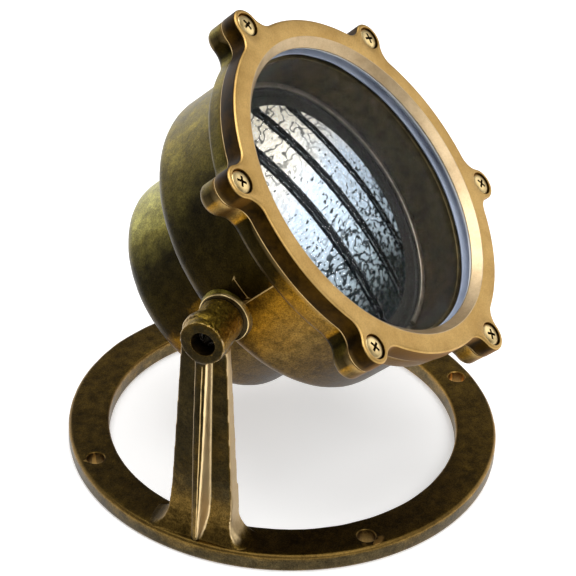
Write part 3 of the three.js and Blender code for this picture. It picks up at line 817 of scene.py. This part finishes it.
def foot_rows():
    """Cross sections of the flare that spreads the foot of an arm over the ring."""
    rows = []
    for i in range(17):
        part = max(0.0, (i - 1) / 15)
        height = BASE_T - 1.5 if i == 0 else BASE_T + FOOT_RISE * part**2
        steep = min(1.0, (height - BASE_T) / FOOT_FLARE) if i else 0.0
        spread = FOOT_FLARE * (1 - math.sqrt(1 - (1 - steep) ** 2))
        outward = 7.2 * (1 - part**2) ** 2.6
        outer, inner = ARM_OUTER_X + 0.02 + outward, ARM_INNER_X + 0.1
        half = ARM_HALF_FOOT - 0.045 * (height - BASE_T) + spread
        corner = 0.4 + 0.55 * spread
        outline = arc(outer - corner, half - corner, corner, 0, 90, 6)
        outline += arc(inner + 0.4, half - 0.4, 0.4, 90, 180, 3)
        outline += [(x, -y) for x, y in reversed(outline)]
        rows.append(level([(x, y + ARM_OFFSET_Y) for x, y in outline], height))
    return rows


def arm(side, name):
    """One arm: tapered plate, outward rib and spread foot, with the pivot boss across its top."""
    x_axis, y_axis, z_axis = (side, 0, 0), (0, 1, 0), (0, 0, 1)
    slab = plate(arm_plate_outline(), ARM_INNER_X, ARM_OUTER_X)
    body = add(name, turned_to(slab, y_axis, z_axis, x_axis))
    body.data.transform(Matrix.Translation((0, ARM_OFFSET_Y * MM, 0)))
    inside, top = ARM_INNER_X - 2, PIVOT_Z + 14
    taper = [(inside, BASE_T), (ARM_INNER_X, BASE_T), (ARM_INNER_TOP_X, top), (inside, top)]
    back = (0, -1, 0)
    combine(body, [add("taper", turned_to(plate(taper, -40, 40), x_axis, z_axis, back))])
    tube = [(0, WASHER_X + GAP), (BOSS_R, WASHER_X + GAP), (BOSS_R, BOSS_OUTER_X), (0, BOSS_OUTER_X)]
    boss = add("boss", across(lathe(tube, 64, False), side))
    boss.data.transform(PIVOT @ Matrix.Translation((0, BOSS_OFFSET_Y * MM, 0)))
    grown = [boss]
    for part, rows in (("rib", rib_rows()), ("foot", foot_rows())):
        grown.append(add(part, turned_to(capped(rows), x_axis, y_axis, z_axis)))
    combine(body, grown, "UNION")
    remesh(body, 0.6, 7)

    def cast_skin(p):
        near_foot = max(0.0, 1 - abs(p.z - BASE_T - 4) / 16)
        around = math.hypot(p.y - BOSS_OFFSET_Y, p.z - PIVOT_Z)
        on_boss = max(0.0, 1 - abs(around - BOSS_R) / 2) if abs(p.x) > WASHER_X + 2 else 0
        above_ring = min(1.0, max(0.0, (p.z - BASE_T) / 3))
        fine = (0.03 + 0.12 * near_foot + 0.24 * on_boss) * grain(p, 1.3)
        return above_ring * (fine + 0.12 * grain(p, 7))

    roughen(body, cast_skin)
    holes = []
    for radius, low, high, mouth in (
        (PIVOT_HOLE_R, WASHER_X - 2, COUNTERBORE_X + 1, 0),
        (COUNTERBORE_R, COUNTERBORE_X, BOSS_OUTER_X - 0.02, 0.25),
    ):
        hole = add("hole", across(cylinder(radius, low, high, 48, mouth), side))
        hole.data.transform(PIVOT)
        holes.append(hole)
    combine(body, holes)
    present(body, BASE_BRASS, "base", "cast_brass", name.replace("_cast", ""))

    def round_boss(p, n):
        around = math.hypot(p.y - BOSS_OFFSET_Y, p.z - PIVOT_Z)
        return abs(around - BOSS_R) < 1 and WASHER_X < abs(p.x) and abs(n.x) < 0.5 and p.z > PIVOT_Z - 6

    recolor(body, BOSS_BRASS, round_boss)
    # Painted shadow inside the pivot hole and counterbore.
    recolor(body, RECESS_SHADOW, lambda p, n: math.hypot(p.y, p.z - PIVOT_Z) < COUNTERBORE_R + 0.1)
    # The mould line is painted with the bright edge-highlight brass.
    bead = add(f"{name}_bead", turned_to(capped(bead_rows()), x_axis, y_axis, z_axis))
    present(bead, EDGE_HIGHLIGHT, "base", "cast_brass")


def pivot_washer(side, name):
    section = rounded(band(PIVOT_HOLE_R, WASHER_R, WASHER_X - WASHER_T, WASHER_X), 0.35)
    washer = add(f"{name}_turned", across(lathe(section, 96), side))
    washer.data.transform(PIVOT)
    present(washer, SCREW_BRASS, "base", "bright_brass", name)
    # Painted shade: the washer's faces, between pad and boss, take the dark bronze; only the rim stays
    # bright.
    recolor(washer, INNER_BRONZE_AND_SHADE, lambda p, n: math.hypot(p.y, p.z - PIVOT_Z) < WASHER_R - 0.5)


def lock_screw(side, name):
    low, high = COUNTERBORE_X + GAP, COUNTERBORE_X + GAP + LOCK_HEAD_H
    shank, head, tip = LOCK_SHANK_R, LOCK_HEAD_R, LOCK_TIP_X
    profile = [(0, tip), (shank - 0.6, tip), (shank, tip + 0.8), (shank, low)]
    profile += [(head, low), (head, high), (0, high)]
    profile = rounded(profile, [0, 0, 0.3, 0.2, 0.3, 0.7, 0], closed=False)
    screw = add(f"{name}_turned", across(lathe(profile, 64, False), side))
    socket = add("socket", across(plate(hexagon(LOCK_SOCKET_ACROSS), high - 3.2, high + 1), side))
    combine(screw, [socket])
    screw.data.transform(PIVOT)
    present(screw, STEEL, name, "steel", name)


# ---- head ----
def bezel():
    outline = lugged_outline(BEZEL_R, LUG_R)
    rows = []
    for inset, z in ((0.5, SEAM_Z), (0.15, SEAM_Z + 0.15), (0, SEAM_Z + 0.6)):
        rows.append(level(lugged_outline(BEZEL_R, LUG_R, inset), z))
    rows.append(level(outline, (SEAM_Z + FACE_Z) / 2))
    edge = 1.3
    for i in range(6):
        turn = math.radians(90 * i / 5)
        inset, z = edge * (1 - math.cos(turn)), FACE_Z - edge + edge * math.sin(turn)
        rows.append(level(lugged_outline(BEZEL_R, LUG_R, inset), z))
    for r, z in (
        (76.5, FACE_Z),
        (BEZEL_FLAT_R + 0.35, FACE_Z),
        (BEZEL_FLAT_R, FACE_Z - 0.08),
        (BEZEL_FLAT_R - 0.3, FACE_Z - 0.4),
        ((BEZEL_FLAT_R + BEZEL_LIP_R) / 2, (FACE_Z + BEZEL_LIP_Z) / 2),
        (BEZEL_LIP_R + 0.15, BEZEL_LIP_Z + 0.2),
        (BEZEL_LIP_R, BEZEL_LIP_Z),
        (BEZEL_LIP_R, BEZEL_LIP_Z - 0.5),
        (WINDOW_SEAT_R, BEZEL_LIP_Z - 0.5),
        (WINDOW_SEAT_R, SEAM_Z),
    ):
        rows.append(level(circle_like(outline, r), z))
    ring = add("bezel_ring_machined", loft(rows))
    seat, mouth = SCREW_SEAT_Z - GAP, SCREW_SINK_R + 0.35
    stepped = [(0, SEAM_Z - 1), (SCREW_HOLE_R, SEAM_Z - 1), (SCREW_HOLE_R, seat)]
    stepped += [(SCREW_SINK_R, seat), (SCREW_SINK_R, FACE_Z - 0.35)]
    stepped += [(SCREW_SINK_R + 0.1, FACE_Z - 0.1), (mouth, FACE_Z), (mouth, FACE_Z + 2), (0, FACE_Z + 2)]
    combine(ring, [add("sinks", repeated(lathe(stepped, 56, False), LUG_CIRCLE_R, LUG_ANGLES))])
    ring.matrix_world = HEAD
    present(ring, BEZEL_BRASS, "head", "machined_brass", "bezel_ring", angle=24)

    def bevel(p, n):
        return p.z > BEZEL_LIP_Z - 0.4 and math.hypot(p.x, p.y) < BEZEL_FLAT_R + 0.2

    def seam_edge(p, n):
        return p.z < SEAM_Z + 0.4 and math.hypot(p.x, p.y) > 77 and n.z > -0.97

    recolor(ring, BEVEL_BRASS, bevel)
    # Painted highlight along the bezel's seam edge.
    recolor(ring, EDGE_HIGHLIGHT, seam_edge)


def bezel_screw(index):
    top = SCREW_SEAT_Z + SCREW_HEAD_H
    rim = top - 0.9
    profile = [(0, SCREW_TIP_Z), (SCREW_SHANK_R - 0.5, SCREW_TIP_Z), (SCREW_SHANK_R, 34)]
    profile.append((SCREW_SHANK_R, SCREW_SEAT_Z))
    profile += [(SCREW_HEAD_R, SCREW_SEAT_Z), (SCREW_HEAD_R, rim)]
    profile += [(SCREW_HEAD_R * math.cos(t), rim + 0.9 * math.sin(t)) for t in (0.3, 0.6, 0.9, 1.2, 1.4)]
    screw = add(f"bezel_screw_{index + 1}_turned", lathe([*profile, (0, top)], 56, False))
    blades = []
    blade_half, blade_t = 2.7, 0.62
    for half_x, half_y in ((blade_half, blade_t), (blade_t, blade_half)):
        mouth = [(-half_x, -half_y), (half_x, -half_y), (half_x, half_y), (-half_x, half_y)]
        root = [(0.62 * x, 0.72 * y) for x, y in mouth]
        blades.append(add("blade", capped([level(root, top - 1.9), level(mouth, top + 0.1)])))
    combine(screw, blades)
    x, y = on_circle(LUG_CIRCLE_R, LUG_ANGLES[index])
    turn = Matrix.Rotation(math.radians(SCREW_TURNS[index]), 4, "Z")
    screw.matrix_world = HEAD @ Matrix.Translation((x * MM, y * MM, 0)) @ turn
    present(screw, SCREW_BRASS, "head", "bright_brass", f"bezel_screw_{index + 1}")

    # Painted shadow in the screw's cross recess.
    def recess(p, n):
        return p.z > SCREW_SEAT_Z + 0.5 and math.hypot(p.x, p.y) < 3.2 and n.z < 0.8

    recolor(screw, RECESS_SHADOW, recess)


def housing_rows():
    outline = lugged_outline(FLANGE_R, FLANGE_LUG_R)
    entry = GLAND_THREAD_R + GAP
    back = [(entry, REAR_BACK_Z), (REAR_R, REAR_BACK_Z), (REAR_R, DRUM_BACK_Z)]
    back += [(DRUM_R, DRUM_BACK_Z), (DRUM_R, 31.6), (76.2, 31.6)]
    back = dense(rounded(back, [0, 8.2, 2.5, 6.7, 3.0, 0], 6, closed=False), 5, closed=False)
    rows = [level(circle_like(outline, r), z) for r, z in back]
    edge = 3.0
    for i in range(6):
        turn = math.radians(90 * i / 5)
        inset, z = edge * (1 - math.sin(turn)), FLANGE_BACK_Z + edge * (1 - math.cos(turn))
        rows.append(level(lugged_outline(FLANGE_R, FLANGE_LUG_R, inset), z))
    top = SEAM_Z - GAP
    for inset, z in ((0, top - 3), (0, top - 0.5), (0.15, top - 0.15), (0.5, top)):
        rows.append(level(lugged_outline(FLANGE_R, FLANGE_LUG_R, inset), z))
    floor, rear_floor = DRUM_BACK_Z + FLOOR_T, REAR_BACK_Z + FLOOR_T
    inner = [(WINDOW_SEAT_R + 0.2, top), (WINDOW_SEAT_R, SEAT_Z), (DRUM_BORE_R, SEAT_Z)]
    inner += [(DRUM_BORE_R, LEDGE_Z), (LEDGE_R, LEDGE_Z), (LEDGE_R, LEDGE_Z - 4)]
    inner += [(DRUM_BORE_R, LEDGE_Z - 8), (DRUM_BORE_R, floor), (REAR_BORE_R, floor)]
    inner += [(REAR_BORE_R, rear_floor), (entry, rear_floor)]
    inner = rounded(inner, [0, 0.3, 0.6, 0.5, 0.5, 0.5, 1, 3, 2, 5, 0], 3, closed=False)
    inner = dense(inner, 6, closed=False)
    return rows + [level(circle_like(outline, r), z) for r, z in inner]


def parting_lines():
    """Faint raised mould lines beside each hinge pad: one along the drum and a short one round it."""
    round_it = (0, 1.2, 2.4, 3.8, 5.0)
    made = []
    for side in (-1, 1):
        rows = []
        for z in (9.5, 20, 30):
            rows.append([(side * (DRUM_R + 0.14 * math.cos(t)), 0.32 * math.sin(t), z) for t in round_it])
        made.append(add("line", capped(rows)))
        rows = []
        for degrees in (1, 3, 5, 7, 9):
            turn = math.radians(degrees)
            ring = [(DRUM_R + 0.1 * math.cos(t), 14.5 + 0.25 * math.sin(t)) for t in round_it]
            rows.append([(side * r * math.cos(turn), r * math.sin(turn), z) for r, z in ring])
        made.append(add("line", capped(rows)))
    return made


def inside_bore(p):
    return math.hypot(p.x, p.y) < DRUM_BORE_R + 0.4 and p.z > DRUM_BACK_Z + 4


def housing():
    shell = add("housing_cast", loft(housing_rows()))
    added = parting_lines()
    for side in (-1, 1):
        pad = [(0, 67.5), (12.6, 67.5), (12.4, 71.5), (11.4, 73)]
        pad += [(PAD_R, 74), (PAD_R - 0.4, PAD_X), (0, PAD_X)]
        added.append(add("pad", across(lathe(pad, 72, False), side)))
    combine(shell, added, "UNION")

    def cast_skin(p):
        outside = math.hypot(p.x, p.y) > DRUM_BORE_R + 2 or p.z < DRUM_BACK_Z
        if not outside or p.z >= SEAM_Z - 1 or abs(p.x) >= PAD_X - 1:
            return 0
        return 0.12 * grain(p, 14) + 0.05 * grain(p, 3)

    roughen(shell, cast_skin)
    holes = []
    for side in (-1, 1):
        holes.append(add("hole", across(cylinder(PIVOT_HOLE_R, LOCK_TIP_X - GAP, PAD_X + 1, 32), side)))
    screw_hole = cylinder(SCREW_HOLE_R, SCREW_TIP_Z - GAP, FACE_Z, 32)
    holes.append(add("holes", repeated(screw_hole, LUG_CIRCLE_R, LUG_ANGLES)))
    combine(shell, holes)
    shell.matrix_world = HEAD
    present(shell, HOUSING_BRASS, "head", "cast_brass", "housing")

    def inner_wall(p, n):
        return math.hypot(p.x, p.y) < WINDOW_SEAT_R + 0.3 and (p.z > SEAT_Z - 1 or inside_bore(p))

    def seam_edge(p, n):
        return p.z > SEAM_Z - GAP - 0.3 and math.hypot(p.x, p.y) > 76 and n.z < 0.97

    recolor(shell, INNER_BRONZE_AND_SHADE, inner_wall)
    # Painted highlight along the housing's seam edge.
    recolor(shell, EDGE_HIGHLIGHT, seam_edge)


def window():
    section = rounded(band(0, GLASS_R, GLASS_LOW_Z, GLASS_LOW_Z + GLASS_T), [0, 0.5, 0.5, 0], closed=False)
    glass = add("window_glass_polished", lathe(section, 128, False), HEAD)
    present(glass, WINDOW, "head", "clear_glass", "window_glass")


def gasket():
    low, lip = SEAT_Z + GAP, 1.0
    inner_low, inner_high = low + lip, low + lip + GLASS_T + 2 * GAP
    section = [(GASKET_LOW_LIP_R, low), (GASKET_R, low), (GASKET_R, inner_high + lip)]
    section += [(GASKET_LIP_R, inner_high + lip), (GASKET_LIP_R, inner_high), (GLASS_R + GAP, inner_high)]
    section += [(GLASS_R + GAP, inner_low), (GASKET_LOW_LIP_R, inner_low)]
    section = rounded(section, [0.4, 0.4, 0.4, 0.4, 0.3, 0.1, 0.1, 0.3], 3)

    def wavy(r, z, turn):
        inner_edge = max(0.0, 1 - (r - GASKET_LOW_LIP_R) / 3)
        wave = 0.35 * noise.noise(Vector((4 * math.cos(turn), 4 * math.sin(turn), 0.3 * z)))
        return r + inner_edge * wave, z

    ring = add("window_gasket_moulded", lathe(section, 192, True, wavy), HEAD)
    present(ring, SILICONE, "head", "silicone", "window_gasket")


def lamp_parts():
    low = LENS_RIM_Z + 2 * GAP
    section = rounded(band(SNAP_INNER_R, BOOT_R, low, low + SNAP_T), 0.5)
    snap = add("lamp_snap_ring_turned", lathe(section, 160))
    gap = plate([(-2.5, -70), (2.5, -70), (2.5, -60), (-2.5, -60)], 10, 30)
    combine(snap, [add("gap", gap)])
    snap.matrix_world = HEAD
    present(snap, SNAP_STEEL, "head", "steel", "lamp_snap_ring")

    boot_section = [(BOOT_LIP_R, 12.2), (57, 12.3), (BOOT_R, 12.3), (BOOT_R, 18.3), (63, 18.3)]
    boot_section += [(62.4, 17.6), (60.2, 17.6), (59.6, 18.3), (55.6, 18.3)]
    boot_section += [(55.6, 13.6), (BOOT_LIP_R, 13.6)]
    boot = add("lamp_boot_moulded", lathe(rounded(boot_section, 0.25, 3), 160), HEAD)
    present(boot, RUBBER, "head", "black_rubber", "lamp_boot")


def lens_relief(x, y):
    """Height of the pressed pattern: dark ribs with hammered, stepped bands between them."""
    from_rib = abs((x / RIB_PITCH) % 1 - 0.5) * RIB_PITCH
    half_bar = 0.5 * RIB_BAR_W
    if from_rib < half_bar:
        return RIB_RISE * (1 - (from_rib / half_bar) ** 4) ** 0.5
    spread = 0.35 + 0.65 * min(1.0, (abs(y) / 26) ** 2)
    hammer = 0.2 * noise.noise(Vector((x / 2.3, y / 1.7, 4)))
    step = 0.12 * noise.cell(Vector((x / 4.2, y / 2.6, 9)))
    return spread * (hammer + step)


def lens():
    rings, spokes = 104, 300
    rows = []
    for i in range(spokes):
        turn = 2 * math.pi * i / spokes
        row = []
        for k in range(rings + 1):
            r = LENS_R * (k / rings)
            x, y = r * math.cos(turn), r * math.sin(turn)
            fade = min(1.0, (LENS_R - r) / 2)
            dome = (LENS_RISE - RIB_RISE) * (1 - (r / LENS_R) ** 2)
            height = LENS_RIM_Z + dome + fade * lens_relief(x, y)
            row.append((x, y, height))
        under = [(LAMP_R, LENS_RIM_Z), (LAMP_R, LENS_BACK_Z), (LENS_BACK_R, LENS_BACK_Z)]
        for p in (0.25, 0.5, 0.75, 1.0):
            under.append((LENS_BACK_R * (1 - p), LENS_BACK_Z + LENS_RISE * (1 - (1 - p) ** 2) * 0.85))
        row += [(r * math.cos(turn), r * math.sin(turn), z) for r, z in under]
        rows.append(row)
    glass = add("lamp_lens_pressed", loft(rows, True, False), HEAD)
    present(glass, LENS, "head", "lens_glass", "lamp_lens", angle=50)


def gland():
    low = GLAND_Z - GLAND_WASHER_T - GAP - GLAND_HEX_T
    body = add("gland_body_machined", plate(hexagon(GLAND_ACROSS), low, low + GLAND_HEX_T))
    chamfer = [(0, low - 1), (GLAND_NUT_R, low - 1), (13.2, low + 1)]
    chamfer += [(13.2, low + 5), (11.4, low + 6.2), (0, low + 6.2)]
    limit = add("limit", lathe(chamfer, 96, False))
    combine(body, [limit], "INTERSECT")
    stem = rounded(band(0, GLAND_THREAD_R, low - GLAND_NECK_H, -48.1), [0, 0.5, 0.6, 0], closed=False)
    combine(body, [add("stem", lathe(stem, 64, False))], "UNION")
    combine(body, [add("bore", cylinder(GLAND_BORE_R, low - 8, 0, 48))])
    body.matrix_world = HEAD
    present(body, GLAND_BRASS, "head", "machined_brass", "gland_body")

    high, wall = low - GAP, low - GLAND_NECK_H - SEAL_T - 2 * GAP
    thread = GLAND_THREAD_R + GAP
    end = wall - GLAND_NUT_WALL
    section = [(GLAND_BORE_R, end), (8.8, end), (GLAND_NUT_R, wall - 1.2), (GLAND_NUT_R, high)]
    section += [(thread, high), (thread, wall), (GLAND_BORE_R, wall)]
    section = dense(rounded(section, [0.8, 0.8, 0.8, 0.5, 0.2, 0.2, 0.2], 3), 3)

    def ribbed(r, z, turn):
        if r <= 10 or not wall - 1 < z < high - 1:
            return r, z
        return r - 0.35 * max(0.0, math.cos(18 * turn)) ** 4, z

    nut = add("gland_nut_machined", lathe(section, 288, True, ribbed), HEAD)
    present(nut, GLAND_BRASS, "head", "machined_brass", "gland_nut")


def finish_hidden_nodes():
    """CAD pieces that stay as they are, with a proper finish."""
    kept = {
        "lamp_reflector": SILVER,
        "lamp_capsule": WINDOW,
        "lamp_terminal_1": SCREW_BRASS,
        "lamp_terminal_2": SCREW_BRASS,
        "earth_screw": SCREW_BRASS,
        "gland_washer": RUBBER,
        "gland_seal": RUBBER,
    }
    for node, material in kept.items():
        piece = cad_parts[node]
        piece.data.materials.clear()
        piece.data.materials.append(material)


# ---- stage ----
def softbox(name, place, target, size, power):
    light = bpy.data.lights.new(name, "AREA")
    light.shape = "RECTANGLE"
    light.size, light.size_y = size
    light.energy = power
    lamp = bpy.data.objects.new(name, light)
    lamp.location = place
    lamp.rotation_euler = (Vector(target) - Vector(place)).to_track_quat("-Z", "Y").to_euler()
    bpy.context.scene.collection.objects.link(lamp)


def make_stage():
    far = 3000
    edges = [[(-far, -far, 0), (far, -far, 0)], [(-far, far, 0), (far, far, 0)]]
    floor = add("floor", loft(edges, False, False))
    look = Look("pale_floor", Roughness=0.9)
    look.paint(look.ramp(look.noise(3, 2), (0.3, (0.88, 0.88, 0.88, 1)), (0.7, (0.9, 0.9, 0.9, 1))))
    look.shader.inputs["Emission Color"].default_value = (1, 1, 1, 1)
    look.shader.inputs["Emission Strength"].default_value = 0.42
    floor.data.materials.append(look.material)
    middle = (0, 0, 0.12)
    softbox("top", (0.1, 0.1, 2.2), middle, (1.7, 1.7), 42)
    softbox("key", (-0.7, -1.2, 1.5), middle, (0.9, 0.9), 11)
    softbox("right", (1.5, -1.15, 0.75), middle, (0.9, 0.9), 4.6)
    softbox("back", (0.5, 1.9, 0.6), middle, (2.2, 0.9), 9)
    world = bpy.data.worlds.new("studio")
    world.use_nodes = True
    world.node_tree.nodes["Background"].inputs["Color"].default_value = (1.0, 0.98, 0.95, 1)
    world.node_tree.nodes["Background"].inputs["Strength"].default_value = 0.2
    bpy.context.scene.world = world
    bpy.context.scene.view_settings.view_transform = "Standard"


make_camera()
make_stage()
cut_base_ring()
for side, name in ((-1, "left"), (1, "right")):
    arm(side, f"{name}_arm_cast")
    pivot_washer(side, f"{name}_pivot_washer")
    lock_screw(side, f"{name}_lock_screw")
housing()
bezel()
for index in range(len(LUG_ANGLES)):
    bezel_screw(index)
window()
gasket()
lamp_parts()
lens()
gland()
finish_hidden_nodes()
